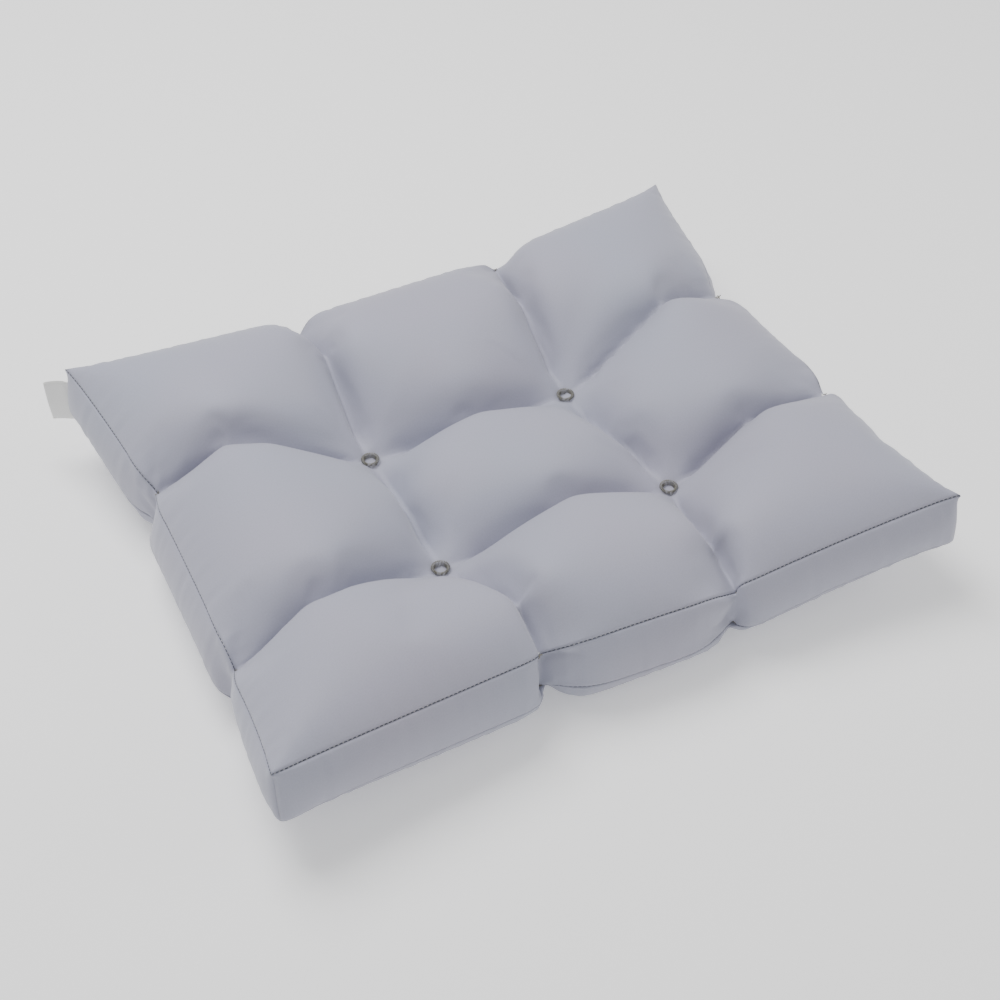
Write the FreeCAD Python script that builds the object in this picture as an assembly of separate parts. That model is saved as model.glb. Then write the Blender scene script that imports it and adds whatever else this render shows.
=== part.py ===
import FreeCAD, Part

import os
from math import exp, hypot, pi, prod, sin

# Tufted chair seat pad: a boxed cover (top panel, bottom panel, border strip) sewn round a fibre
# filling, tied through at four tufts and tacked at eight places on its seams. Millimetres, +Z up.
# The origin is the middle of the face that it rests on, +X runs along the front edge to the right.

# Driving dimensions
LENGTH = 500.0              # along X, from seam corner to seam corner
DEPTH = 400.0               # along Y, from seam corner to seam corner
PILLOW_TOP = 95.0           # crest of a stuffed pillow above the seat
CREASE_TOP = 66.0           # middle of the crease between two pillows
TUFT_TOP = 40.0             # top panel where a tuft pulls it down
TUFT_BOTTOM = 32.0          # bottom panel where the same tuft lifts it
LOW_CREASE = 14.0           # bottom panel in the crease between two pillows
REST_PROUD = 0.4            # how far the spots that it rests on stand out of the bottom pillows
REST_MIDDLE = (84.0, 60.0)  # length along X and depth along Y of the spot under the middle pillow
REST_CORNER = (60.0, 40.0)  # and of the one under each corner pillow
SEAM_TOP = 66.0             # top seam at the middle of an edge
SEAM_TACK = 55.0            # top seam where a tack pulls it down
SEAM_CORNER = 80.0          # top seam at the corners, which the filling lifts
LOW_SEAM = 18.0             # bottom seam at the middle of an edge
LOW_SEAM_TACK = 26.0        # bottom seam where a tack lifts it
LOW_SEAM_CORNER = 30.0      # bottom seam at the corners
BORDER_BULGE = 7.0          # how far the border strip stands out of the seam line
CLOTH = 1.0                 # thickness of a panel, modelled heavier than the real 0.3
SEW_GAP = 0.2               # clearance between sewn layers
THREAD = 0.6                # height and width of a row of seam stitches
FILL_GAP = 0.6              # clearance between the filling and the border strip
FILL_LIFT = 0.2             # clearance between the filling and the rows of seam stitches
TUFT_LINE = 1.0 / 3.0       # tufts and tacks lie a third of the way out on the flat cloth
TUFT_RING = 5.5             # radius of the ring of stitches at a tuft
TUFT_THREAD = 0.9           # radius of the ring's bead of thread
TUFT_SLEEVE = 0.9           # thickness of the stitches that pass through the pad
THREAD_SPARE = 0.15         # clearance round a thread where it passes through cloth and filling
TACK_KNOT = 1.3             # radius of a tack's knots
TACK_STAND = 1.6            # height of a knot's centre off the cloth
TACK_TIE = 0.6              # radius of the thread that joins a tack's two knots
TACK_INSET = 3.0            # how far a tack's thread lies inside the seam line
LABEL_REACH = 16.0          # how far the folded care label stands out of its seam
LABEL_HEIGHT = 36.0         # width of the care label's ribbon, upright in the corner seam
LABEL_LOOP = 1.6            # thickness of the folded ribbon, with the air in its loop
LABEL_WALL = 0.5            # one layer of the ribbon
LABEL_ROOT = 1.6            # from the corner seam to the start of the label
LABEL_RISE = 7.0            # from the bottom seam's corner up to the label
JOIN_INSET = 4.0            # how far inside the corner the border's join is sewn
LABEL_HEADING = 140.0       # degrees from +X in plan, pointing out of the back left corner
CLOSING_LENGTH = 120.0      # hand opening in the back bottom seam, sewn up after filling
TUFT_FLOOR = 15.0           # radius of the flat spot that a tuft presses into each panel
STEPS_X = 72                # spans of the cloth's grid of control points along X
STEPS_Y = 60                # and along Y
STEPS_Z = 6                 # spans up the border strip

# Where the cloth is held, sewn by hand and so a little uneven: seam corners, edge tacks and tufts.
# Each row runs from the front edge to the back edge, and the rows go from left to right.
HELD = [
    [(-LENGTH / 2, -DEPTH / 2), (-233.0, -97.0), (-225.0, 77.0), (-LENGTH / 2, DEPTH / 2)],
    [(-58.0, -168.0), (-76.0, -63.0), (-76.0, 54.0), (-79.0, 186.0)],
    [(83.0, -182.0), (101.0, -67.0), (82.0, 51.0), (96.0, 192.0)],
    [(LENGTH / 2, -DEPTH / 2), (242.0, -50.0), (232.0, 82.0), (LENGTH / 2, DEPTH / 2)],
]

os.makedirs("parts", exist_ok=True)


def smooth(value, low, high):
    """0 below low, 1 above high, with a smooth rise between them."""
    t = min(max((value - low) / (high - low), 0.0), 1.0)
    return t * t * (3.0 - 2.0 * t)


def lobe(t):
    """1 at the middle of each of the three pillows along an edge, 0 on tuft lines and edges."""
    return 1 - sin(1.5 * pi * t) ** 4


def at_tack(t):
    """1 beside a tack and 0 away from it, for t from -1 to 1 along an edge."""
    return exp(-(((abs(t) - TUFT_LINE) / 0.11) ** 2))


def shares(t):
    """How much each of the four lines of held points counts at t: cubics, 1 on their own line and
    0 on the others."""
    lines = (-1.0, -TUFT_LINE, TUFT_LINE, 1.0)
    return [prod((t - other) / (line - other) for other in lines if other != line) for line in lines]


def plan(u, v):
    """Plan position of the cloth's point u, v (each -1 to 1), which passes through HELD."""
    across, back = shares(u), shares(v)
    return [sum(across[i] * back[j] * HELD[i][j][k] for i in range(4) for j in range(4))
            for k in (0, 1)]


def along_edge(u, v):
    """The coordinate that runs along the nearest edge."""
    return v if abs(u) > abs(v) else u


def from_tuft(u, v):
    """Plan distance to the nearest tuft."""
    return hypot((abs(u) - TUFT_LINE) * LENGTH / 2, (abs(v) - TUFT_LINE) * DEPTH / 2)


def seam_height(t, middle, tack, corner):
    """Height of a seam along an edge: it rises to the corners and is drawn in at the tacks."""
    free = middle + (corner - middle) * smooth(abs(t), TUFT_LINE, 1.0)
    return free + (tack - free) * at_tack(t)


def pillows(u, v, at_tuft, at_crease, at_crest):
    """Height of nine pillows, with creases between them and a small flat spot at each tuft."""
    a, b = lobe(u), lobe(v)
    z = at_tuft + (at_crease - at_tuft) * (a + b - a * b) + (at_crest - at_crease) * a * b
    return at_tuft + (z - at_tuft) * smooth(from_tuft(u, v), TUFT_FLOOR, 2 * TUFT_FLOOR)


def top_height(u, v):
    """Height of the top panel, from its pillows down to the top seam."""
    edge = smooth(max(abs(u), abs(v)), 0.76, 1.0)
    seam = seam_height(along_edge(u, v), SEAM_TOP, SEAM_TACK, SEAM_CORNER)
    return pillows(u, v, TUFT_TOP, CREASE_TOP, PILLOW_TOP) * (1 - edge) + seam * edge


def bottom_height(u, v):
    """Height of the bottom panel, whose pillows are flattened, up to the bottom seam."""
    edge = smooth(max(abs(u), abs(v)), 0.8, 1.0)
    seam = seam_height(along_edge(u, v), LOW_SEAM, LOW_SEAM_TACK, LOW_SEAM_CORNER)
    free = pillows(u, v, TUFT_BOTTOM, LOW_CREASE, -LOW_CREASE)
    return max(free, REST_PROUD) * (1 - edge) + seam * edge


def steps(count):
    return [2.0 * i / count - 1.0 for i in range(count + 1)]


def cloth_point(u, v, height, lift, inset):
    """The point u, v of a layer that lies lift above a panel and ends inset inside its edges."""
    u, v = u * (1 - inset / (LENGTH / 2)), v * (1 - inset / (DEPTH / 2))
    x, y = plan(u, v)
    return FreeCAD.Vector(x, y, height(u, v) + lift)


def panel_grid(height, lift, inset):
    """Rows of points over a whole panel, for one face of it or of the filling."""
    return [[cloth_point(u, v, height, lift, inset) for v in steps(STEPS_Y)] for u in steps(STEPS_X)]


def spline(rows):
    """A smooth surface whose control points are these rows, passing through their four edges."""
    def knots(count, degree):
        inner = count - degree - 1
        return list(range(inner + 2)), [degree + 1] + [1] * inner + [degree + 1]

    degree_u, degree_v = min(3, len(rows) - 1), min(3, len(rows[0]) - 1)
    knots_u, mults_u = knots(len(rows), degree_u)
    knots_v, mults_v = knots(len(rows[0]), degree_v)
    surface = Part.BSplineSurface()
    surface.buildFromPolesMultsKnots(
        rows, mults_u, mults_v, knots_u, knots_v, False, False, degree_u, degree_v
    )
    return surface.toShape()


def solid_from(faces):
    """The solid that these faces close."""
    shell = Part.Shell(faces)
    shell.sewShape()
    solid = Part.Solid(shell)
    if solid.Volume < 0:
        solid.reverse()
    if not solid.isValid() or not shell.isClosed():
        raise ValueError("an open or faulty solid")
    return solid


def edges_of(rows):
    """A grid's four edges as lists of points, in order round it."""
    return [rows[0], [r[-1] for r in rows], rows[-1], [r[0] for r in rows]]


def sheet_solid(upper, lower):
    """The closed solid between two grids of the same size, with ruled edges."""
    faces = [spline(upper), spline(lower)]
    for high, low in zip(edges_of(upper), edges_of(lower)):
        faces.append(spline([high, low]))
    return solid_from(faces)


def side_grids(gap, inset):
    """Four grids up the border, front, right, back and left, each from the bottom edge up.
    gap is their clearance from the outer faces of the panels."""
    sides = []
    fronts = [[(t, -1.0) for t in steps(STEPS_X)], [(1.0, t) for t in steps(STEPS_Y)],
              [(t, 1.0) for t in steps(STEPS_X)], [(-1.0, t) for t in steps(STEPS_Y)]]
    outwards = [(0, -1), (1, 0), (0, 1), (-1, 0)]
    for line, (out_x, out_y) in zip(fronts, outwards):
        rows = []
        for u, v in line:
            t = u if out_x == 0 else v
            low = cloth_point(u, v, bottom_height, gap, inset)
            high = cloth_point(u, v, top_height, -gap, inset)
            row = []
            for k in range(STEPS_Z + 1):
                s = k / STEPS_Z
                bulge = BORDER_BULGE * lobe(t) * sin(pi * s)
                row.append(low + (high - low) * s + FreeCAD.Vector(out_x * bulge, out_y * bulge, 0))
            rows.append(row)
        sides.append(rows)
    return sides


def ring_solid(outer, inner):
    """The closed ring between outer and inner side grids, mitred at the corners."""
    faces = []
    for out_rows, in_rows in zip(outer, inner):
        faces += [spline(out_rows), spline(in_rows)]
        faces.append(spline([[r[-1] for r in out_rows], [r[-1] for r in in_rows]]))
        faces.append(spline([[r[0] for r in out_rows], [r[0] for r in in_rows]]))
    return solid_from(faces)


def seam_row(height, low, high, inset):
    """A row of stitches all round a seam, between two offsets from a panel's edge height."""
    def edge(width, lift):
        rows = []
        for line in ([(t, -1.0) for t in steps(STEPS_X)], [(1.0, t) for t in steps(STEPS_Y)],
                     [(t, 1.0) for t in steps(STEPS_X)], [(-1.0, t) for t in steps(STEPS_Y)]):
            rows.append([cloth_point(u, v, height, lift, width) for u, v in line])
        return rows

    faces = []
    corners = [(inset, low), (inset, high), (inset + THREAD, high), (inset + THREAD, low)]
    lines = [edge(width, lift) for width, lift in corners]
    for i in range(4):
        for first, second in zip(lines[i], lines[(i + 1) % 4]):
            faces.append(spline([first, second]))
    return solid_from(faces)


def tuft(x, y, spare):
    """A ring of stitches on each face of the pad and the sleeve of thread through it between
    them. spare fattens it all, to cut its way through the cloth and the filling."""
    place, height = FreeCAD.Vector(x, y, TUFT_BOTTOM), TUFT_TOP - TUFT_BOTTOM
    sleeve = Part.makeCylinder(TUFT_RING + TUFT_SLEEVE / 2 + spare, height, place)
    sleeve = sleeve.cut(Part.makeCylinder(TUFT_RING - TUFT_SLEEVE / 2 - spare, height, place))
    for z in (TUFT_BOTTOM, TUFT_TOP):
        sleeve = sleeve.fuse(Part.makeTorus(TUFT_RING, TUFT_THREAD + spare, FreeCAD.Vector(x, y, z)))
    return sleeve.removeSplitter()


def tack(x, y, low, high):
    """Two knots, over the top seam and under the bottom seam, and the thread that ties them."""
    tie = tack_tie(x, y, low, high, 0.0)
    for z in (low - TACK_STAND, high + TACK_STAND):
        tie = tie.fuse(Part.makeSphere(TACK_KNOT, FreeCAD.Vector(x, y, z)))
    return tie


def tack_tie(x, y, low, high, spare):
    """A tack's upright thread. spare fattens it, to cut its way through the cloth and filling."""
    place = FreeCAD.Vector(x, y, low - TACK_STAND)
    return Part.makeCylinder(TACK_TIE + spare, high - low + 2 * TACK_STAND, place)


def care_label():
    """A ribbon folded into a flat loop, upright, its two ends in the back left corner seam."""
    def loop(thickness, root, reach, height, base):
        half = thickness / 2
        tip = reach - half
        lower, upper = FreeCAD.Vector(root, -half, base), FreeCAD.Vector(root, half, base)
        end_low, end_high = FreeCAD.Vector(tip, -half, base), FreeCAD.Vector(tip, half, base)
        outline = Part.Wire([
            Part.makeLine(lower, end_low),
            Part.Arc(end_low, FreeCAD.Vector(reach, 0, base), end_high).toShape(),
            Part.makeLine(end_high, upper),
            Part.makeLine(upper, lower)])
        return Part.Face(outline).extrude(FreeCAD.Vector(0, 0, height))

    base = LOW_SEAM_CORNER + LABEL_RISE
    hollow = loop(LABEL_LOOP - 2 * LABEL_WALL, LABEL_ROOT + 1.0, LABEL_REACH - LABEL_WALL,
                  LABEL_HEIGHT + 2, base - 1)
    ribbon = loop(LABEL_LOOP, LABEL_ROOT, LABEL_REACH, LABEL_HEIGHT, base).cut(hollow)
    ribbon.rotate(FreeCAD.Vector(0, 0, 0), FreeCAD.Vector(0, 0, 1), LABEL_HEADING)
    ribbon.translate(FreeCAD.Vector(-LENGTH / 2, DEPTH / 2, 0))
    return ribbon


def save(shape, node):
    """Writes one node and prints its size."""
    shape.exportStep(f"parts/{node}.step")
    box = shape.BoundBox
    print(f"{node}: {len(shape.Solids)} solids, {shape.Volume / 1000:.2f} cm3, "
          f"z {box.ZMin:.2f} to {box.ZMax:.2f}")


def resting_spot(u, v, size):
    """A flat spot of this length and depth, a little proud of the bottom panel at u, v."""
    length, depth = size
    x, y = plan(u, v) if u or v else (0.0, 0.0)
    return Part.makeBox(length, depth, REST_PROUD + CLOTH / 2,
                        FreeCAD.Vector(x - length / 2, y - depth / 2, 0.0))


# Cover: two panels and the strip between them, with a row of stitches in each seam
stack = CLOTH + THREAD + 2 * SEW_GAP        # panel, gap, stitches, gap
top_panel = sheet_solid(panel_grid(top_height, 0.0, 0.0), panel_grid(top_height, -CLOTH, 0.0))
bottom_panel = sheet_solid(
    panel_grid(bottom_height, CLOTH, 0.0), panel_grid(bottom_height, 0.0, 0.0))
bottom_panel = bottom_panel.fuse(
    [resting_spot(0.0, 0.0, REST_MIDDLE)]
    + [resting_spot(u, v, REST_CORNER) for u in (-2 / 3, 2 / 3) for v in (-2 / 3, 2 / 3)])
border_strip = ring_solid(side_grids(stack, 0.0), side_grids(stack, CLOTH))
top_seam = seam_row(top_height, -CLOTH - SEW_GAP - THREAD, -CLOTH - SEW_GAP, 0.2)
bottom_seam = seam_row(bottom_height, CLOTH + SEW_GAP, CLOTH + SEW_GAP + THREAD, 0.2)

# Filling: one mass of fibre that fills the cover
fill_clear, fill_inset = stack + FILL_LIFT, CLOTH + FILL_GAP
fibre_fill = solid_from(
    [spline(panel_grid(top_height, -fill_clear, fill_inset)),
     spline(panel_grid(bottom_height, fill_clear, fill_inset))]
    + [spline(rows) for rows in side_grids(fill_clear, fill_inset)])

# Tufts: four rings of stitches through the whole pad, a third of the way out
tufts = {}
for name_y, side_y in (("front", -1), ("back", 1)):
    for name_x, side_x in (("left", -1), ("right", 1)):
        x, y = plan(side_x * TUFT_LINE, side_y * TUFT_LINE)
        tufts[f"tuft_{name_y}_{name_x}"] = [tuft(x, y, 0.0), tuft(x, y, THREAD_SPARE)]

# Tacks: two on each side, in line with the tufts, each tying the top seam to the bottom seam
tacks = {}
for name, side_x, side_y in (("front", 0, -1), ("right", 1, 0), ("back", 0, 1), ("left", -1, 0)):
    ends = ("left", "right") if side_x == 0 else ("front", "back")
    for end, sign in zip(ends, (-1, 1)):
        u = side_x if side_x else sign * TUFT_LINE
        v = side_y if side_y else sign * TUFT_LINE
        low = cloth_point(u, v, bottom_height, 0.0, TACK_INSET)
        high = cloth_point(u, v, top_height, 0.0, TACK_INSET)
        tacks[f"edge_tack_{name}_{end}"] = [
            tack(low.x, low.y, low.z, high.z), tack_tie(low.x, low.y, low.z, high.z, THREAD_SPARE)]

rooms = [room for _, room in list(tufts.values()) + list(tacks.values())]
top_panel, bottom_panel, fibre_fill = [
    shape.cut(rooms) for shape in (top_panel, bottom_panel, fibre_fill)]

# Corner join of the border strip, inside the back left corner, behind the label
join_at = FreeCAD.Vector(-LENGTH / 2 + JOIN_INSET, DEPTH / 2 - JOIN_INSET, LOW_SEAM_CORNER + LABEL_RISE)
border_join = Part.makeBox(THREAD, THREAD, LABEL_HEIGHT, join_at)
spare = FreeCAD.Vector(THREAD_SPARE, THREAD_SPARE, THREAD_SPARE)
fibre_fill = fibre_fill.cut(Part.makeBox(
    THREAD + 2 * THREAD_SPARE, THREAD + 2 * THREAD_SPARE, LABEL_HEIGHT + 2 * THREAD_SPARE,
    join_at - spare))

# The opening for the filling, in the back bottom seam, sewn up with its own row of stitches
closing_row = bottom_seam.common(Part.makeBox(
    CLOSING_LENGTH, 30.0, 60.0, FreeCAD.Vector(-CLOSING_LENGTH / 2, DEPTH / 2 - 20.0, -5.0)))
bottom_seam = bottom_seam.cut(Part.makeBox(
    CLOSING_LENGTH + 1, 30.0, 60.0, FreeCAD.Vector(-CLOSING_LENGTH / 2 - 0.5, DEPTH / 2 - 20.0, -5.0)))

for node, shape in (("top_panel", top_panel), ("bottom_panel", bottom_panel),
                    ("border_strip", border_strip), ("fibre_fill", fibre_fill),
                    ("top_seam_thread", top_seam), ("bottom_seam_thread", bottom_seam),
                    ("border_join_thread", border_join), ("closing_thread", closing_row),
                    ("care_label", care_label())):
    save(shape, node)
for node, (shape, _) in list(tufts.items()) + list(tacks.items()):
    save(shape, node)
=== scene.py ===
import math

import bpy
import numpy as np
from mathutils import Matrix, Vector


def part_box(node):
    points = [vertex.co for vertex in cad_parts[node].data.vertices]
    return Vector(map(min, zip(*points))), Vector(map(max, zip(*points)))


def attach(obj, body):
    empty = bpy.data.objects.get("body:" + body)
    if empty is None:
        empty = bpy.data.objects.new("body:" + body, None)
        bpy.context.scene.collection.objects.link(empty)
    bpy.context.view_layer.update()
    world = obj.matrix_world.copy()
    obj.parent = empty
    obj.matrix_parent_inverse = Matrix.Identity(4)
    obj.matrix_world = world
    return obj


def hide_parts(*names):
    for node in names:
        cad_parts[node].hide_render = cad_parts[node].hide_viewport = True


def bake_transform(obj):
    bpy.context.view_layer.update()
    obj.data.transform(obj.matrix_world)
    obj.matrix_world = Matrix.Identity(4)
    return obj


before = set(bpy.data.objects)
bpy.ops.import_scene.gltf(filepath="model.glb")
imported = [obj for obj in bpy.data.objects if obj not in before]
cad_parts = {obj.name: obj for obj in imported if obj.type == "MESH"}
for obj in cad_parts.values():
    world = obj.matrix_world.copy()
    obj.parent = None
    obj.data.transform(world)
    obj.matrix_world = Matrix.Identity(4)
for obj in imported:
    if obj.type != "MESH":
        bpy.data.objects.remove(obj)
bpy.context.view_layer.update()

# ---------------------------------------------------------------------------------------------
# The cover. Two rectangles of woven polyester and a strip are sewn inside out, turned, filled with
# fibre and tied through at four tufts and eight edge tacks. Each cut is larger than the finished
# pad, because the filling takes the cloth up into nine pillows. Blender's Cloth blows the flat cut
# up from its flat size on a coarse grid, which finds the pillows. That shape is evened, creased by
# a formula and given a little more cloth, and a second pass on a fine grid lets it settle.
# ---------------------------------------------------------------------------------------------
EASE = 1.085                    # each cut is this much longer and deeper than the finished pad
STRIP_CUT = 0.042               # the border strip's finished width
CELL = 0.006
START_HEIGHT = 0.012            # the flat cut is held this far above the floor before it is filled
SEAT = 0.001                    # the cloth's own clearance from the floor
TIED_REACH = 0.026              # how far from a crease the filling pushes only weakly
SOFT_ROUNDS = 10                # of working the fibre even
CREASE_DEPTH = 0.016            # of the creases between pillows, half way between two ties
CREASE_WIDE, CREASE_SHARP = 0.024, 0.005
CREASE_FADE = 0.032             # the crease fades this near to a tie or a seam
FULLNESS = 1.025                # the second pass starts with cloth this much longer each way
PUSH_STEPS = 40                 # the filling's push is set in this many steps
TUFT_HOLD = 0.0065              # radius of cloth that a ring of tuft stitches holds flat
TUFT_BEAD = 0.0009              # radius of the ring's bead of thread
TACK_STAND = 0.0029             # from the top of a tack's knot to the cloth
TACK_INSET = 0.003              # a tack's thread lies this far inside the seam line
TUFTS = [f"tuft_{y}_{x}" for y in ("front", "back") for x in ("left", "right")]
TACKS = ([f"edge_tack_{y}_{x}" for y in ("front", "back") for x in ("left", "right")]
         + [f"edge_tack_{x}_{y}" for x in ("left", "right") for y in ("front", "back")])
panel_corner, panel_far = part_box("top_panel")
FINISHED = np.array([panel_far.x - panel_corner.x, panel_far.y - panel_corner.y])
PANEL_CUT = FINISHED * EASE     # each panel's flat cut, along X and Y


def middle_of(node):
    """The middle of a tuft or a tack, in plan."""
    corner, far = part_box(node)
    return np.array([(corner.x + far.x) / 2, (corner.y + far.y) / 2])


def edge_loop(grid):
    """A grid's outer entries, once round from its first corner."""
    return np.concatenate([grid[:-1, 0], grid[-1, :-1], grid[:0:-1, -1], grid[0, :0:-1]])


def cover_numbers(across, deep, tall):
    """Vertex numbers of the cover: a grid for the top panel, one for the bottom panel, and the
    rows of the strip, whose first and last rows are the panels' own edges."""
    top = np.arange((across + 1) * (deep + 1)).reshape(across + 1, deep + 1)
    low = top + top.size
    around = len(edge_loop(top))
    between = 2 * top.size + np.arange((tall - 1) * around).reshape(tall - 1, around)
    return top, low, np.vstack([edge_loop(top), between, edge_loop(low)])


def flat_cover(across, deep, tall):
    """The sewn but empty cover as an upright box: panels at their flat size, strip between."""
    top, low, strip = cover_numbers(across, deep, tall)
    place = np.zeros((strip[1:-1].size + 2 * top.size, 3))
    x, y = np.meshgrid(np.linspace(-0.5, 0.5, across + 1) * PANEL_CUT[0],
                       np.linspace(-0.5, 0.5, deep + 1) * PANEL_CUT[1], indexing="ij")
    for grid, z in ((top, START_HEIGHT + STRIP_CUT), (low, START_HEIGHT)):
        place[grid] = np.stack([x, y, np.full_like(x, z)], -1)
    down = np.linspace(0, 1, tall + 1)[:, None, None]
    place[strip] = place[strip[0]] * (1 - down) + place[strip[-1]] * down
    return place


def quads(grid):
    """The four-cornered faces of a grid of vertex numbers, as rows of four."""
    return np.stack([grid[:-1, :-1], grid[1:, :-1], grid[1:, 1:], grid[:-1, 1:]], -1).reshape(-1, 4)


def cover_faces(across, deep, tall):
    """The cover's faces, wound so that all of them face outwards."""
    top, low, strip = cover_numbers(across, deep, tall)
    round_strip = np.hstack([strip, strip[:, :1]])
    return np.vstack([quads(top), quads(low)[:, ::-1], quads(round_strip)])


def refined(grid, axis):
    """A grid with a new entry half way between each pair along an axis, on the cubic curve
    through the two entries on each side of it."""
    g = np.moveaxis(grid, axis, 0)
    padded = np.concatenate([[2 * g[0] - g[1]], g, [2 * g[-1] - g[-2]]])
    half = (9 * (padded[1:-2] + padded[2:-1]) - padded[:-3] - padded[3:]) / 16
    out = np.empty((2 * len(g) - 1,) + g.shape[1:])
    out[::2], out[1::2] = g, half
    return np.moveaxis(out, 0, axis)


def refined_cover(place, across, deep, tall):
    """The same cover with twice as many cells each way."""
    top, low, strip = cover_numbers(across, deep, tall)
    top2, low2, strip2 = cover_numbers(2 * across, 2 * deep, 2 * tall)
    out = np.zeros((strip2[1:-1].size + 2 * top2.size, 3))
    for grid, grid2 in ((top, top2), (low, low2)):
        out[grid2] = refined(refined(place[grid], 0), 1)
    around = place[np.hstack([strip[:, -2:], strip, strip[:, :2]])]
    middle = refined(refined(around, 0), 1)[1:-1, 4:-3]
    out[strip2[1:-1]] = middle
    return out


def held_points(place, across, deep, tall):
    """Which vertices the tufts and tacks hold, and where each of them is held."""
    top, low, strip = cover_numbers(across, deep, tall)
    goal, held = place.copy(), np.zeros(len(place), bool)
    for node in TUFTS:
        corner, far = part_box(node)
        middle = middle_of(node)
        cut_at = middle * EASE
        for grid, z in ((top, far.z - TUFT_BEAD), (low, corner.z + TUFT_BEAD)):
            numbers = grid.ravel()
            from_tuft = place[numbers, :2] - cut_at
            near = np.hypot(*from_tuft.T) < TUFT_HOLD
            goal[numbers[near], :2] = middle + from_tuft[near]
            goal[numbers[near], 2] = z
            held[numbers[near]] = True
    for node in TACKS:
        corner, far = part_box(node)
        middle = middle_of(node)
        out = np.eye(2)[0 if "tack_left" in node or "tack_right" in node else 1] * np.sign(middle)
        cut_at = np.where(out != 0, out * PANEL_CUT / 2, middle * EASE)
        for loop, z in ((strip[0], far.z - TACK_STAND), (strip[-1], corner.z + TACK_STAND)):
            tied = loop[np.hypot(*(place[loop, :2] - cut_at).T).argmin()]
            goal[tied] = [*(middle + out * TACK_INSET), z]
            held[tied] = True
    return goal, held


def from_creases(place):
    """How far each vertex of the flat cut is from the nearest crease that crosses X and from the
    nearest that crosses Y. A crease runs from a tack through two tufts to the opposite tack."""
    away = np.full((len(place), 2), np.inf)
    for side in ("left", "right", "front", "back"):
        axis = 0 if side in ("left", "right") else 1
        nodes = ([f"edge_tack_front_{side}", f"tuft_front_{side}", f"tuft_back_{side}",
                  f"edge_tack_back_{side}"] if axis == 0 else
                 [f"edge_tack_left_{side}", f"tuft_{side}_left", f"tuft_{side}_right",
                  f"edge_tack_right_{side}"])
        ties = np.array([middle_of(node) for node in nodes]) * EASE
        line = np.interp(place[:, 1 - axis], ties[:, 1 - axis], ties[:, axis])
        away[:, axis] = np.minimum(away[:, axis], np.abs(place[:, axis] - line))
    return away


def filling_push(place):
    """The share of the full pressure at each vertex of the flat cut: the fibre is packed in the
    middle of each pillow and thin along the creases."""
    return (1 - np.exp(-(from_creases(place) / TIED_REACH) ** 2)).prod(axis=1)


def blown_up(flat, goal, held, push, faces, ramp, frames, pressure, stiffness):
    """Cloth whose lengths at rest are those of flat. It is drawn to goal where it is tied, over the
    first ramp frames, and pushed out by the filling with the floor under it. With no ramp it
    starts at goal. Returns where it settles."""
    mesh = bpy.data.meshes.new("cloth")
    mesh.from_pydata(flat.tolist(), [], faces.tolist())
    cloth = bpy.data.objects.new("cloth", mesh)
    bpy.context.collection.objects.link(cloth)
    cloth.shape_key_add(name="Basis")
    tied = cloth.shape_key_add(name="tied")
    tied.data.foreach_set("co", goal.ravel())
    tied.value = 1.0
    if ramp:
        for frame_number, value in ((1, 0.0), (ramp, 1.0)):
            tied.value = value
            tied.keyframe_insert("value", frame=frame_number)
        for curve in mesh.shape_keys.animation_data.action.fcurves:
            for key in curve.keyframe_points:
                key.interpolation = "LINEAR"
    group = cloth.vertex_groups.new(name="held")
    group.add(np.flatnonzero(held).tolist(), 1.0, "REPLACE")
    filled = cloth.vertex_groups.new(name="filled")
    steps = np.round(push * PUSH_STEPS).astype(int)
    for step in np.unique(steps):
        filled.add(np.flatnonzero(steps == step).tolist(), float(step) / PUSH_STEPS, "REPLACE")
    modifier = cloth.modifiers.new("cloth", "CLOTH")
    settings = modifier.settings
    settings.quality = 6
    settings.mass = 0.3
    settings.air_damping = 1
    settings.bending_model = "ANGULAR"
    settings.tension_damping = settings.compression_damping = settings.shear_damping = 5
    settings.bending_damping = 0.5
    for name, value in stiffness.items():
        setattr(settings, name + "_stiffness", value)
    settings.vertex_group_mass = "held"
    settings.rest_shape_key = mesh.shape_keys.key_blocks["Basis"]
    settings.use_pressure = True
    settings.uniform_pressure_force = pressure
    settings.vertex_group_pressure = "filled"
    settings.effector_weights.gravity = 0
    modifier.collision_settings.distance_min = SEAT
    modifier.point_cache.frame_start, modifier.point_cache.frame_end = 1, frames + 1
    bpy.ops.mesh.primitive_plane_add(size=2)
    seat = bpy.context.object
    seat.modifiers.new("seat", "COLLISION")
    seat.collision.thickness_outer = SEAT
    seat.collision.cloth_friction = 5
    for frame_number in range(1, frames + 1):
        bpy.context.scene.frame_set(frame_number)
    shape = cloth.evaluated_get(bpy.context.evaluated_depsgraph_get())
    place = np.empty(len(flat) * 3)
    shape.data.vertices.foreach_get("co", place)
    bpy.data.objects.remove(cloth)
    bpy.data.objects.remove(seat)
    bpy.context.scene.frame_set(1)
    return place.reshape(-1, 3)


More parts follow.
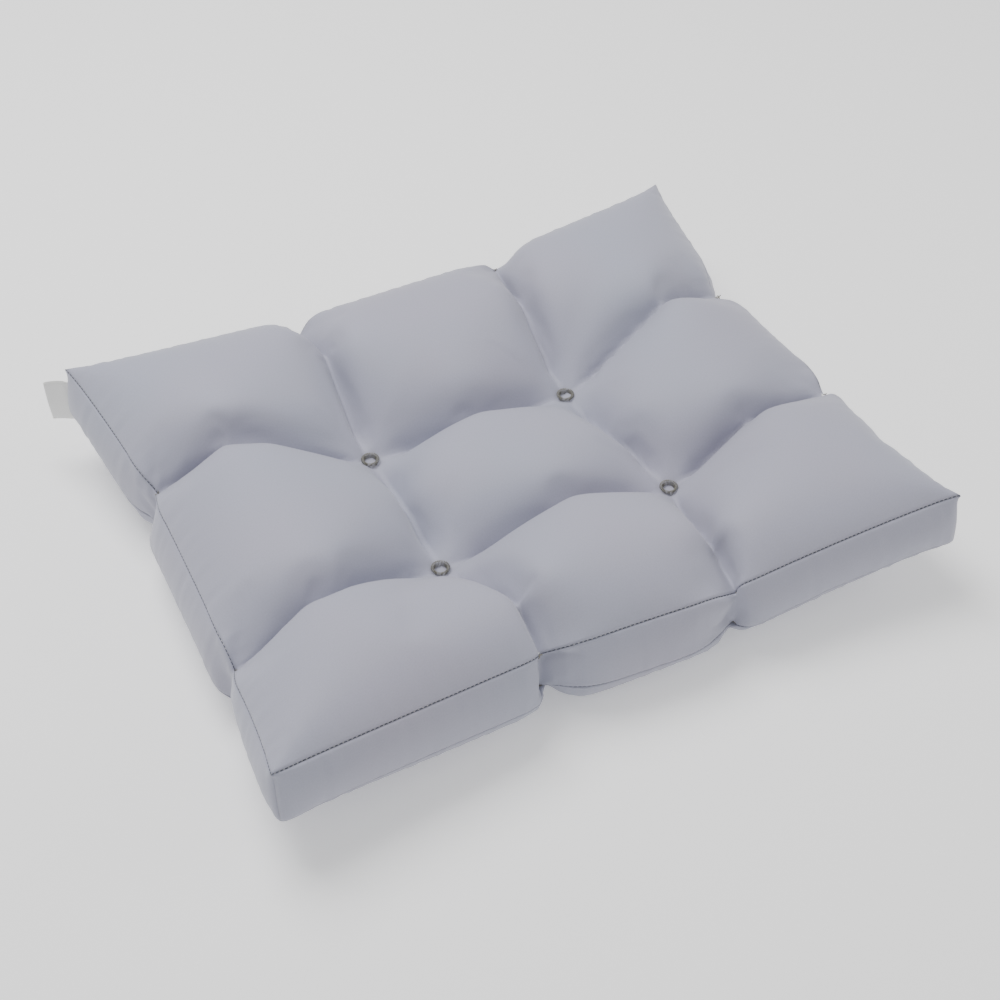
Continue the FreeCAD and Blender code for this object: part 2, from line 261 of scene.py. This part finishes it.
def worked_soft(place, held, across, deep, tall):
    """The cover once the fibre has been worked even by hand: every point moves to the mean of its
    four neighbours, SOFT_ROUNDS times. A seam is evened only along itself; ties and the top
    corners stay."""
    top, low, strip = cover_numbers(across, deep, tall)
    corners = np.array([0, across, across + deep, 2 * across + deep])
    fixed = np.concatenate([np.flatnonzero(held), strip[0][corners]])
    soft = place.copy()
    for _ in range(SOFT_ROUNDS):
        before = soft.copy()
        for grid in (top, low, np.hstack([strip[:, -1:], strip, strip[:, :1]])):
            g = before[grid]
            soft[grid[1:-1, 1:-1]] = (g[2:, 1:-1] + g[:-2, 1:-1] + g[1:-1, 2:] + g[1:-1, :-2]) / 4
        for loop in (strip[0], strip[-1]):
            g = before[loop]
            soft[loop] = (np.roll(g, 1, 0) + 2 * g + np.roll(g, -1, 0)) / 4
        soft[fixed] = place[fixed]
    return soft


def creased(place):
    """The top panel drawn down along the lines that join its ties, in a wide dip with a sharp
    crease along its middle: CREASE_DEPTH (exp(-(d / wide)^2) + exp(-d / sharp)) / 2."""
    top = fine_flat[:, 2] == fine_flat[:, 2].max()
    away = from_creases(fine_flat[top])
    from_seam = (PANEL_CUT / 2 - np.abs(fine_flat[top, :2])).min(axis=1)
    dip = ((np.exp(-(away / CREASE_WIDE) ** 2) + np.exp(-away / CREASE_SHARP)) / 2).max(axis=1)
    free = np.minimum(np.hypot(*away.T), from_seam) / CREASE_FADE
    out = place.copy()
    out[top, 2] -= CREASE_DEPTH * dip * np.clip(free, 0, 1)
    return out


counts = [6 * round(PANEL_CUT[0] / CELL / 6), 6 * round(PANEL_CUT[1] / CELL / 6),
          max(4, round(STRIP_CUT / CELL))]
flat = flat_cover(*counts)
goal, held = held_points(flat, *counts)
cover = blown_up(flat, goal, held, filling_push(flat), cover_faces(*counts), ramp=12, frames=38,
                 pressure=100,
                 stiffness={"tension": 200, "compression": 5, "shear": 5, "bending": 6})
fine_counts = [2 * count for count in counts]
fine_flat = flat_cover(*fine_counts)
_, fine_held = held_points(fine_flat, *fine_counts)
cover = creased(worked_soft(refined_cover(cover, *counts), fine_held, *fine_counts))
cover = blown_up(cover * FULLNESS, cover, fine_held, filling_push(fine_flat),
                 cover_faces(*fine_counts), ramp=0, frames=12, pressure=25,
                 stiffness={"tension": 120, "compression": 5, "shear": 5, "bending": 0.4})
cover[:, 2] -= cover[:, 2].min()


# ---------------------------------------------------------------------------------------------
# Top panel, bottom panel and border strip as separate cloths. Each edge turns in over the seam
# and the stitches pull the seam line in, which puckers the cloth beside it.
# ---------------------------------------------------------------------------------------------
SEAM_DEPTH = 0.0013             # how far the stitches draw the seam line in
ROLL = 0.3                      # share of the first cell that the turned edge takes
CLOTH_THICKNESS = 0.0003
PUCKER = 0.0004                 # height of the gathers beside a seam
PUCKER_REACH = 0.007            # and how far from it they die away


def vertex_normals(place, faces):
    """Outward normals, each the sum of its faces' cross products, made one long."""
    a, b, c, d = (place[faces[:, k]] for k in range(4))
    across = np.cross(c - a, d - b)
    normals = np.zeros_like(place)
    for k in range(4):
        np.add.at(normals, faces[:, k], across)
    return normals / np.linalg.norm(normals, axis=1, keepdims=True)


def with_rolled_edge(grid, axis):
    """A grid with one more entry just inside each end of an axis, where the turned edge starts."""
    g = np.moveaxis(grid, axis, 0)
    first, last = g[0] + (g[1] - g[0]) * ROLL, g[-1] + (g[-2] - g[-1]) * ROLL
    return np.moveaxis(np.concatenate([g[:1], [first], g[1:-1], [last], g[-1:]]), 0, axis)


def gathers(along, seed):
    """Uneven height, about -1 to 1, along a seam: a few waves of 7 to 19 mm with random phases."""
    phases = np.random.default_rng(seed).uniform(0, 2 * np.pi, 5)
    lengths = np.array([0.0071, 0.0092, 0.0113, 0.0147, 0.0189])
    waves = np.sin(2 * np.pi * along[..., None] / lengths + phases)
    return waves.mean(-1) * 1.6


def gathered(grid, lift, from_seam, along, seed):
    """The grid raised along lift by the gathers, nothing on the seam and most just beside it."""
    reach = from_seam / PUCKER_REACH
    height = PUCKER * gathers(along, seed) * reach * np.exp(1 - reach)
    return grid + lift * height[..., None]


def mesh_piece(name, place, faces):
    """A smooth object from an array of places and a list of faces."""
    mesh = bpy.data.meshes.new(name)
    mesh.from_pydata(place.reshape(-1, 3).tolist(), [], faces)
    mesh.polygons.foreach_set("use_smooth", np.ones(len(faces), bool))
    piece = bpy.data.objects.new(name, mesh)
    bpy.context.collection.objects.link(piece)
    return piece


def cloth_piece(name, grid, cut, thickness):
    """A piece of cloth from a grid of places and a grid of the same points on the flat cut, which
    becomes its UV map, in metres."""
    numbers = np.arange(grid[..., 0].size).reshape(grid.shape[:2])
    faces = quads(numbers)
    piece = mesh_piece(name, grid, faces.tolist())
    layer = piece.data.uv_layers.new(name="cut")
    layer.data.foreach_set("uv", cut.reshape(-1, 2)[faces.ravel()].astype(np.float32).ravel())
    wall = piece.modifiers.new("thickness", "SOLIDIFY")
    wall.thickness = thickness
    wall.offset = -1
    return piece


fine_faces = cover_faces(*fine_counts)
normals = vertex_normals(cover, fine_faces)
top_ids, low_ids, strip_ids = cover_numbers(*fine_counts)
seam_drawn = cover - normals * SEAM_DEPTH


def panel_grid(ids, seed):
    """A panel's places and flat cut, with its edge turned in and gathered by the seam."""
    cut = fine_flat[ids][..., :2]
    from_x, from_y = (PANEL_CUT[k] / 2 - np.abs(cut[..., k]) for k in (0, 1))
    along = np.where(from_x < from_y, cut[..., 1], cut[..., 0])
    soft = gathered(cover[ids], normals[ids], np.minimum(from_x, from_y), along, seed)
    rolled = with_rolled_edge(with_rolled_edge(soft, 0), 1)
    rolled[0], rolled[-1] = (with_rolled_edge(seam_drawn[ids[k]], 0) for k in (0, -1))
    rolled[:, 0], rolled[:, -1] = (with_rolled_edge(seam_drawn[ids[:, k]], 0) for k in (0, -1))
    return rolled, with_rolled_edge(with_rolled_edge(cut, 0), 1)


top_grid, top_cut = panel_grid(top_ids, 1)
low_grid, low_cut = panel_grid(low_ids, 2)
top_panel = cloth_piece("top_cloth", top_grid, top_cut, CLOTH_THICKNESS)
bottom_panel = cloth_piece("bottom_cloth", low_grid[::-1], low_cut[::-1], CLOTH_THICKNESS)

strip_round = np.hstack([strip_ids, strip_ids[:, :1]])
edge_steps = np.linalg.norm(np.diff(fine_flat[strip_round[0]], axis=0), axis=1)
along = np.concatenate([[0], np.cumsum(edge_steps)])
down = np.linspace(0, STRIP_CUT, len(strip_ids))[:, None]
strip_soft = gathered(cover[strip_round], normals[strip_round],
                      np.minimum(down, STRIP_CUT - down) + 0 * along, along + 0 * down, 3)
strip_grid = with_rolled_edge(strip_soft, 0)
strip_grid[0], strip_grid[-1] = seam_drawn[strip_round[0]], seam_drawn[strip_round[-1]]
strip_cut = np.stack(np.meshgrid(with_rolled_edge(down, 0)[:, 0], along, indexing="ij"), -1)
border = cloth_piece("border_cloth", strip_grid, strip_cut[..., ::-1], CLOTH_THICKNESS)


def linear(code):
    """An sRGB hex colour as linear red, green, blue and alpha."""
    values = [int(code[k:k + 2], 16) / 255 for k in (1, 3, 5)]
    return [v / 12.92 if v <= 0.04045 else ((v + 0.055) / 1.055) ** 2.4 for v in values] + [1.0]


def add_node(material, kind, settings=(), **links):
    """A node of this kind, with its properties or sockets set and its inputs linked. A setting
    whose name is a property of the node is set there, and any other is a socket."""
    node = material.node_tree.nodes.new("ShaderNode" + kind)
    for name, value in dict(settings).items():
        if hasattr(node, name):
            setattr(node, name, value)
        else:
            node.inputs[name].default_value = value
    for name, source in links.items():
        target = next(s for s in node.inputs if s.name.replace(" ", "_") == name and s.enabled
                      and not s.is_linked)
        material.node_tree.links.new(source, target)
    return node


def new_material(name):
    """A material with no nodes in it yet."""
    material = bpy.data.materials.new(name)
    material.use_nodes = True
    material.node_tree.nodes.clear()
    return material


def finish_material(material, shader):
    """Links the shader to the material's output."""
    output = add_node(material, "OutputMaterial")
    material.node_tree.links.new(shader.outputs[0], output.inputs["Surface"])
    return material


# Plain-woven polyester microfibre, piece dyed and lightly brushed: matt, with a soft sheen where
# the cloth turns away and a slightly uneven dye. Its yarns are 0.25 mm apart, too fine to show,
# so the weave is drawn at 0.8 mm, and faintly.
def microfibre():
    material = new_material("brushed_polyester_microfibre")
    cut = add_node(material, "UVMap", {"uv_map": "cut"}).outputs["UV"]
    place = add_node(material, "TexCoord").outputs["Object"]
    warp = add_node(material, "TexWave", {"wave_type": "BANDS", "bands_direction": "X",
                                          "Scale": 390.0, "Distortion": 0.6, "Detail": 1.0},
                    Vector=cut).outputs["Fac"]
    weft = add_node(material, "TexWave", {"wave_type": "BANDS", "bands_direction": "Y",
                                          "Scale": 390.0, "Distortion": 0.6, "Detail": 1.0},
                    Vector=cut).outputs["Fac"]
    weave = add_node(material, "Math", {"operation": "MULTIPLY"}, Value=warp)
    material.node_tree.links.new(weft, weave.inputs[1])
    grain = add_node(material, "TexNoise", {"Scale": 900.0, "Detail": 3.0}, Vector=cut)
    dye = add_node(material, "TexNoise", {"Scale": 9.0, "Detail": 2.0}, Vector=place)
    tint = add_node(material, "MixRGB", {"Color1": linear("#A3A8B8"), "Color2": linear("#AAA6B5")},
                    Fac=dye.outputs["Fac"])
    speck = add_node(material, "MapRange", {"From Min": 0.3, "From Max": 0.7, "To Min": 0.96,
                                            "To Max": 1.04}, Value=grain.outputs["Fac"])
    colour = add_node(material, "VectorMath", {"operation": "SCALE"}, Vector=tint.outputs[0])
    material.node_tree.links.new(speck.outputs[0], colour.inputs["Scale"])
    low_bump = add_node(material, "Bump", {"Strength": 0.12, "Distance": 0.0004},
                        Height=weave.outputs[0])
    bump = add_node(material, "Bump", {"Strength": 0.10, "Distance": 0.0005},
                    Height=grain.outputs["Fac"], Normal=low_bump.outputs["Normal"])
    shader = add_node(material, "BsdfPrincipled",
                      {"Roughness": 0.62, "Specular IOR Level": 0.3, "Sheen Weight": 0.25,
                       "Sheen Roughness": 0.45}, Normal=bump.outputs["Normal"])
    material.node_tree.links.new(colour.outputs[0], shader.inputs["Base Color"])
    return finish_material(material, shader)


cover_cloth = microfibre()
for piece, node in ((top_panel, "top_panel"), (bottom_panel, "bottom_panel"),
                    (border, "border_strip")):
    piece.data.materials.append(cover_cloth)
    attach(piece, "pad")
    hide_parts(node)

# ---------------------------------------------------------------------------------------------
# Filling: one mass of loose white polyester fibre, which fills the cover and is hidden by it.
# ---------------------------------------------------------------------------------------------
FILL_CLEAR = 0.0010             # between the filling and the cover


def wadding():
    """Siliconised polyester fibre: white, matt, a mat of fine hairs."""
    material = new_material("white_polyester_wadding")
    place = add_node(material, "TexCoord").outputs["Object"]
    hairs = add_node(material, "TexNoise", {"Scale": 160.0, "Detail": 6.0, "Distortion": 2.0},
                     Vector=place)
    tone = add_node(material, "MixRGB", {"Color1": linear("#DCDCD8"), "Color2": linear("#F2F2F0")},
                    Fac=hairs.outputs["Fac"])
    bump = add_node(material, "Bump", {"Strength": 0.6, "Distance": 0.002},
                    Height=hairs.outputs["Fac"])
    shader = add_node(material, "BsdfPrincipled", {"Roughness": 0.95, "Sheen Weight": 0.3},
                      Normal=bump.outputs["Normal"])
    material.node_tree.links.new(tone.outputs[0], shader.inputs["Base Color"])
    return finish_material(material, shader)


fibre = mesh_piece("fibre_mass", cover - normals * FILL_CLEAR, fine_faces.tolist())
fibre.data.materials.append(wadding())
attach(fibre, "pad")
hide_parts("fibre_fill")

# ---------------------------------------------------------------------------------------------
# Seam stitches. A lockstitch of spun polyester every 3 mm along each seam, pulled tight, so that
# each stitch shows as a short dark dash in the groove where the two cloths meet.
# ---------------------------------------------------------------------------------------------
STITCH_PITCH = 0.0030
STITCH_LENGTH = 0.0021
SEAM_THREAD_RADIUS = 0.00028
STITCH_PROUD = 0.0006           # how far a stitch stands out of the bottom of the groove
CLOSING_PITCH, CLOSING_STITCH, CLOSING_SLANT = 0.0055, 0.0030, 0.0008
THREAD_SIDES = 6


def thread_tubes(name, paths, beside, radii, material):
    """Threads along paths, an array of count, points, 3. Each is a tube whose section at a point is
    a ring of THREAD_SIDES vertices, turned by the direction beside, and its ends are closed."""
    count, points = paths.shape[:2]
    ahead = np.gradient(paths, axis=1)
    ahead /= np.linalg.norm(ahead, axis=2, keepdims=True)
    side = np.cross(ahead, np.broadcast_to(beside, paths.shape))
    side /= np.linalg.norm(side, axis=2, keepdims=True)
    up = np.cross(ahead, side)
    turn = np.arange(THREAD_SIDES) * 2 * np.pi / THREAD_SIDES
    ring = (side[:, :, None] * np.cos(turn)[:, None] + up[:, :, None] * np.sin(turn)[:, None])
    place = paths[:, :, None] + ring * np.broadcast_to(radii, paths.shape[:2])[..., None, None]
    numbers = np.arange(count * points * THREAD_SIDES).reshape(count, points, THREAD_SIDES)
    rings = np.concatenate([numbers, numbers[:, :, :1]], 2)
    walls = np.stack([rings[:, :-1, :-1], rings[:, :-1, 1:], rings[:, 1:, 1:], rings[:, 1:, :-1]], -1)
    faces = walls.reshape(-1, 4).tolist() + numbers[:, 0, ::-1].tolist() + numbers[:, -1].tolist()
    piece = mesh_piece(name, place, faces)
    piece.data.materials.append(material)
    return piece


def spun_thread(name, dark, light, roughness):
    """Spun polyester thread: matt, hairy, its plies showing as alternate darker and lighter bands."""
    material = new_material(name)
    place = add_node(material, "TexCoord").outputs["Object"]
    ply = add_node(material, "TexNoise", {"Scale": 1400.0, "Detail": 2.0}, Vector=place)
    tone = add_node(material, "MixRGB", {"Color1": linear(dark), "Color2": linear(light)},
                    Fac=ply.outputs["Fac"])
    bump = add_node(material, "Bump", {"Strength": 0.5, "Distance": 0.0002},
                    Height=ply.outputs["Fac"])
    shader = add_node(material, "BsdfPrincipled", {"Roughness": roughness, "Sheen Weight": 0.2},
                      Normal=bump.outputs["Normal"])
    material.node_tree.links.new(tone.outputs[0], shader.inputs["Base Color"])
    return finish_material(material, shader)


def along_line(line, stations):
    """Points at these distances along a line of points."""
    run = np.concatenate([[0], np.cumsum(np.linalg.norm(np.diff(line, axis=0), axis=1))])
    return np.stack([np.interp(stations, run, line[:, k]) for k in range(3)], -1)


def dashes(line, pitch, length, slant):
    """Straight four-point paths, one stitch every pitch along a line. slant tips each one across
    the line, upwards, as a hand stitch leans."""
    run = np.linalg.norm(np.diff(line, axis=0), axis=1).sum()
    starts = np.arange(0, run - length, pitch)
    first, last = along_line(line, starts), along_line(line, starts + length)
    lean = np.array([0, 0, slant])
    share = np.array([0, 0.2, 0.8, 1])[None, :, None]
    return (first - lean)[:, None] * (1 - share) + (last + lean)[:, None] * share


seam_thread = spun_thread("spun_polyester_seam_thread", "#3F424C", "#6E7280", 0.75)
DASH_RADII = SEAM_THREAD_RADIUS * np.array([0.5, 1, 1, 0.5])
groove = seam_drawn + normals * STITCH_PROUD
top_seam, low_seam = groove[strip_round[0]], groove[strip_round[-1]]

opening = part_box("closing_thread")
closed_by_hand = ((low_seam[:, 0] > opening[0].x) & (low_seam[:, 0] < opening[1].x)
                  & (low_seam[:, 1] > 0))
at_opening = np.flatnonzero(closed_by_hand)
past_opening = np.concatenate([low_seam[at_opening[-1]:-1], low_seam[:at_opening[0] + 1]])
corner_column = strip_ids[:, 2 * counts[0] + 2 * counts[1] + 2 * counts[0]]
border_join = cover[corner_column] - normals[corner_column] * (SEAM_DEPTH - STITCH_PROUD)
LOCKSTITCH = (STITCH_PITCH, STITCH_LENGTH, 0.0)
for name, node, line, stitch in (
        ("top_seam_stitches", "top_seam_thread", top_seam, LOCKSTITCH),
        ("bottom_seam_stitches", "bottom_seam_thread", past_opening, LOCKSTITCH),
        ("border_join_stitches", "border_join_thread", border_join, LOCKSTITCH),
        ("closing_stitches", "closing_thread", low_seam[at_opening],
         (CLOSING_PITCH, CLOSING_STITCH, CLOSING_SLANT))):
    row = thread_tubes(name, dashes(line, *stitch), (0.1, 0.2, 1.0), DASH_RADII, seam_thread)
    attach(row, "pad")
    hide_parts(node)

# ---------------------------------------------------------------------------------------------
# Tufts. Heavy grey-brown thread, whipped round a small ring on each face and passed straight
# through the filling from one ring to the other, pulled tight.
# ---------------------------------------------------------------------------------------------
RING_STITCHES = 30
WHIP_RADIUS = 0.0009            # of the loop that each stitch makes over the ring's edge
TUFT_THREAD_RADIUS = 0.00032
RING_LEAN = 0.25                # how far round a stitch leans, as a share of the space between two
LOOP_POINTS = 9

tufting_thread = spun_thread("heavy_tufting_thread", "#4A4944", "#A5A294", 0.7)


def ring_of_stitches(middle, radius, side):
    """Loops over a circle: each runs from inside it to outside over a half turn, leaning a little
    along it. side is 1 for the top face and -1 for the bottom."""
    turn = np.arange(RING_STITCHES) * 2 * np.pi / RING_STITCHES
    lean = RING_LEAN * 2 * np.pi / RING_STITCHES * np.linspace(-1, 1, LOOP_POINTS)
    over = np.linspace(-0.15 * np.pi, 1.15 * np.pi, LOOP_POINTS)
    angle = turn[:, None] + lean
    out = radius - WHIP_RADIUS * np.cos(over)
    return np.stack([middle.x + out * np.cos(angle), middle.y + out * np.sin(angle),
                     middle.z + side * WHIP_RADIUS * np.sin(over) + 0 * angle], -1)


for node in TUFTS:
    corner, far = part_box(node)
    middle, radius = (corner + far) / 2, (far.x - corner.x) / 2 - TUFT_BEAD
    upper, lower = (Vector((middle.x, middle.y, z)) for z in (far.z - TUFT_BEAD, corner.z + TUFT_BEAD))
    loops = np.concatenate([ring_of_stitches(upper, radius, 1), ring_of_stitches(lower, radius, -1)])
    ends = np.stack([loops[:RING_STITCHES, 0], loops[RING_STITCHES:, 0]])
    share = np.linspace(0, 1, LOOP_POINTS)[None, :, None]
    through = ends[0][:, None] * (1 - share) + ends[1][:, None] * share
    tuft = thread_tubes(node + "_stitches", np.concatenate([loops, through]), (0.3, 0.5, 0.02),
                        TUFT_THREAD_RADIUS, tufting_thread)
    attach(tuft, "pad")
    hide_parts(node)

# ---------------------------------------------------------------------------------------------
# Edge tacks. The same thread, tied from the top seam to the bottom seam inside the border, with a
# small overhand knot on each seam and short cut ends.
# ---------------------------------------------------------------------------------------------
KNOT_SIZE = 0.0007              # scale of the knot, whose path is about six times as wide
KNOT_POINTS = 61
TACK_THREAD_RADIUS = 0.00038
TAIL_LENGTH = 0.0035


def knot_path(middle):
    """A trefoil: x = sin t + 2 sin 2t, y = cos t - 2 cos 2t, z = -sin 3t, closed on itself."""
    t = np.linspace(0, 2 * np.pi, KNOT_POINTS)
    return middle + KNOT_SIZE * np.stack(
        [np.sin(t) + 2 * np.sin(2 * t), np.cos(t) - 2 * np.cos(2 * t), -1.4 * np.sin(3 * t)], -1)


for node in TACKS:
    middle = middle_of(node)
    knots, straight = [], []
    for loop in (strip_ids[0], strip_ids[-1]):
        tied = loop[np.hypot(*(cover[loop, :2] - middle).T).argmin()]
        knots.append(cover[tied])
        tail = normals[tied] + np.array([0.4, -0.3, 0.2])
        straight.append([cover[tied], cover[tied] + tail / np.linalg.norm(tail) * TAIL_LENGTH])
    straight.append(knots)
    share = np.linspace(0, 1, KNOT_POINTS)[None, :, None]
    straight = np.array(straight)
    lines = straight[:, :1] * (1 - share) + straight[:, 1:] * share
    paths = np.concatenate([[knot_path(middle) for middle in knots], lines])
    beside = np.concatenate([paths[:2] - np.array(knots)[:, None] + 1e-6,
                             np.broadcast_to([0.31, 0.83, 0.17], lines.shape)])
    tack = thread_tubes(node + "_knots", paths, beside, TACK_THREAD_RADIUS, tufting_thread)
    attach(tack, "pad")
    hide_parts(node)

# ---------------------------------------------------------------------------------------------
# Care label. Plain white polyester satin ribbon, folded into a loop, its two ends caught in the
# border's join at the back left corner. It is blank.
# ---------------------------------------------------------------------------------------------
LABEL_HEADING = math.radians(140)
LABEL_ROOT_IN = 0.002           # how much of it is inside the seam
LABEL_REACH = 0.016
LABEL_HALF_LOOP = 0.0008
LABEL_CURL = 0.0035             # how far its free end has bent sideways
LABEL_THICKNESS = 0.00015
LABEL_DROOP = 0.0015            # how far its free end hangs down
RIBBON_POINTS = 49              # along the ribbon, an odd number so that one is on the fold


def satin_ribbon():
    """Polyester satin: white, smooth and glossy along its floats, 0.2 mm apart and drawn at 0.5."""
    material = new_material("white_polyester_satin")
    cut = add_node(material, "UVMap", {"uv_map": "cut"}).outputs["UV"]
    floats = add_node(material, "TexWave", {"bands_direction": "Y", "Scale": 620.0,
                                            "Distortion": 0.4}, Vector=cut)
    bump = add_node(material, "Bump", {"Strength": 0.2, "Distance": 0.0002},
                    Height=floats.outputs["Fac"])
    shader = add_node(material, "BsdfPrincipled", {"Base Color": linear("#E6E6E4"),
                                                   "Roughness": 0.38, "Sheen Weight": 0.1},
                      Normal=bump.outputs["Normal"])
    return finish_material(material, shader)


label_low, label_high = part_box("care_label")
base, height = label_low.z, label_high.z - label_low.z
level = np.abs(border_join[:, 2] - (base + height / 2)).argmin()
root = cover[corner_column][level]
ribbon = np.linspace(0, 2 * (LABEL_REACH + LABEL_ROOT_IN), RIBBON_POINTS)
run = np.minimum(ribbon, ribbon[-1] - ribbon)
far_side = np.where(ribbon > ribbon[-1] / 2, 1.0, -1.0)
out_to_fold = run[RIBBON_POINTS // 2]
fold = np.clip((out_to_fold - run) / LABEL_HALF_LOOP, 0, 1)
spread = LABEL_HALF_LOOP * far_side * np.sqrt(1 - (1 - fold) ** 2) * np.clip(run / 0.004, 0.2, 1)
rise = np.linspace(0, height, 15)[:, None]
reach = run - LABEL_ROOT_IN
curl = LABEL_CURL * (run / out_to_fold) ** 2 * (0.55 + 0.45 * np.sin(np.pi * rise / height * 0.7))
sideways = spread + curl
head = np.array([math.cos(LABEL_HEADING), math.sin(LABEL_HEADING)])
across = np.array([-head[1], head[0]])
label_grid = np.stack([root[0] + reach * head[0] + sideways * across[0],
                       root[1] + reach * head[1] + sideways * across[1],
                       base + rise + 0 * run - LABEL_DROOP * (run / out_to_fold) ** 2], -1)
label_cut = np.stack([ribbon + 0 * rise, rise + 0 * ribbon], -1)
label = cloth_piece("label_ribbon", label_grid[::-1], label_cut[::-1], LABEL_THICKNESS)
label.data.materials.append(satin_ribbon())
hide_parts("care_label")
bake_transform(label)

# ---------------------------------------------------------------------------------------------
# Studio: a plain pale floor, soft light from all round, and the camera.
# ---------------------------------------------------------------------------------------------
bpy.ops.mesh.primitive_plane_add(size=12)
floor = bpy.context.object
floor.name = "floor"
paper = new_material("white_paper_floor")
floor.data.materials.append(finish_material(paper, add_node(
    paper, "BsdfPrincipled", {"Base Color": linear("#F7F7F7"), "Roughness": 0.9,
                              "Emission Color": linear("#FFFFFF"), "Emission Strength": 0.30})))

world = bpy.data.worlds.new("soft_studio")
bpy.context.scene.world = world
world.use_nodes = True
world.node_tree.nodes["Background"].inputs["Color"].default_value = linear("#FFFFFF")
world.node_tree.nodes["Background"].inputs["Strength"].default_value = 0.55


def area_light(name, place, size, power):
    """A square soft box that faces the pad."""
    data = bpy.data.lights.new(name, "AREA")
    data.size = size
    data.energy = power
    light = bpy.data.objects.new(name, data)
    light.location = place
    light.rotation_euler = Vector(place).to_track_quat("Z", "Y").to_euler()
    bpy.context.collection.objects.link(light)


area_light("top_box", (-0.3, 0.6, 1.6), 1.0, 30)
area_light("right_box", (1.5, -0.6, 0.9), 1.0, 6)

CAMERA_TURN, CAMERA_RISE, CAMERA_DISTANCE = math.radians(-27), math.radians(46), 1.184
LOOKS_AT = Vector((-0.007, -0.016, 0.030))
back = Vector((math.sin(CAMERA_TURN) * math.cos(CAMERA_RISE),
               -math.cos(CAMERA_TURN) * math.cos(CAMERA_RISE), math.sin(CAMERA_RISE)))
camera_data = bpy.data.cameras.new("camera")
camera_data.lens = 60
camera_data.sensor_width = 36
camera = bpy.data.objects.new("camera", camera_data)
camera.location = LOOKS_AT + back * CAMERA_DISTANCE
camera.rotation_euler = back.to_track_quat("Z", "Y").to_euler()
bpy.context.collection.objects.link(camera)
bpy.context.scene.camera = camera
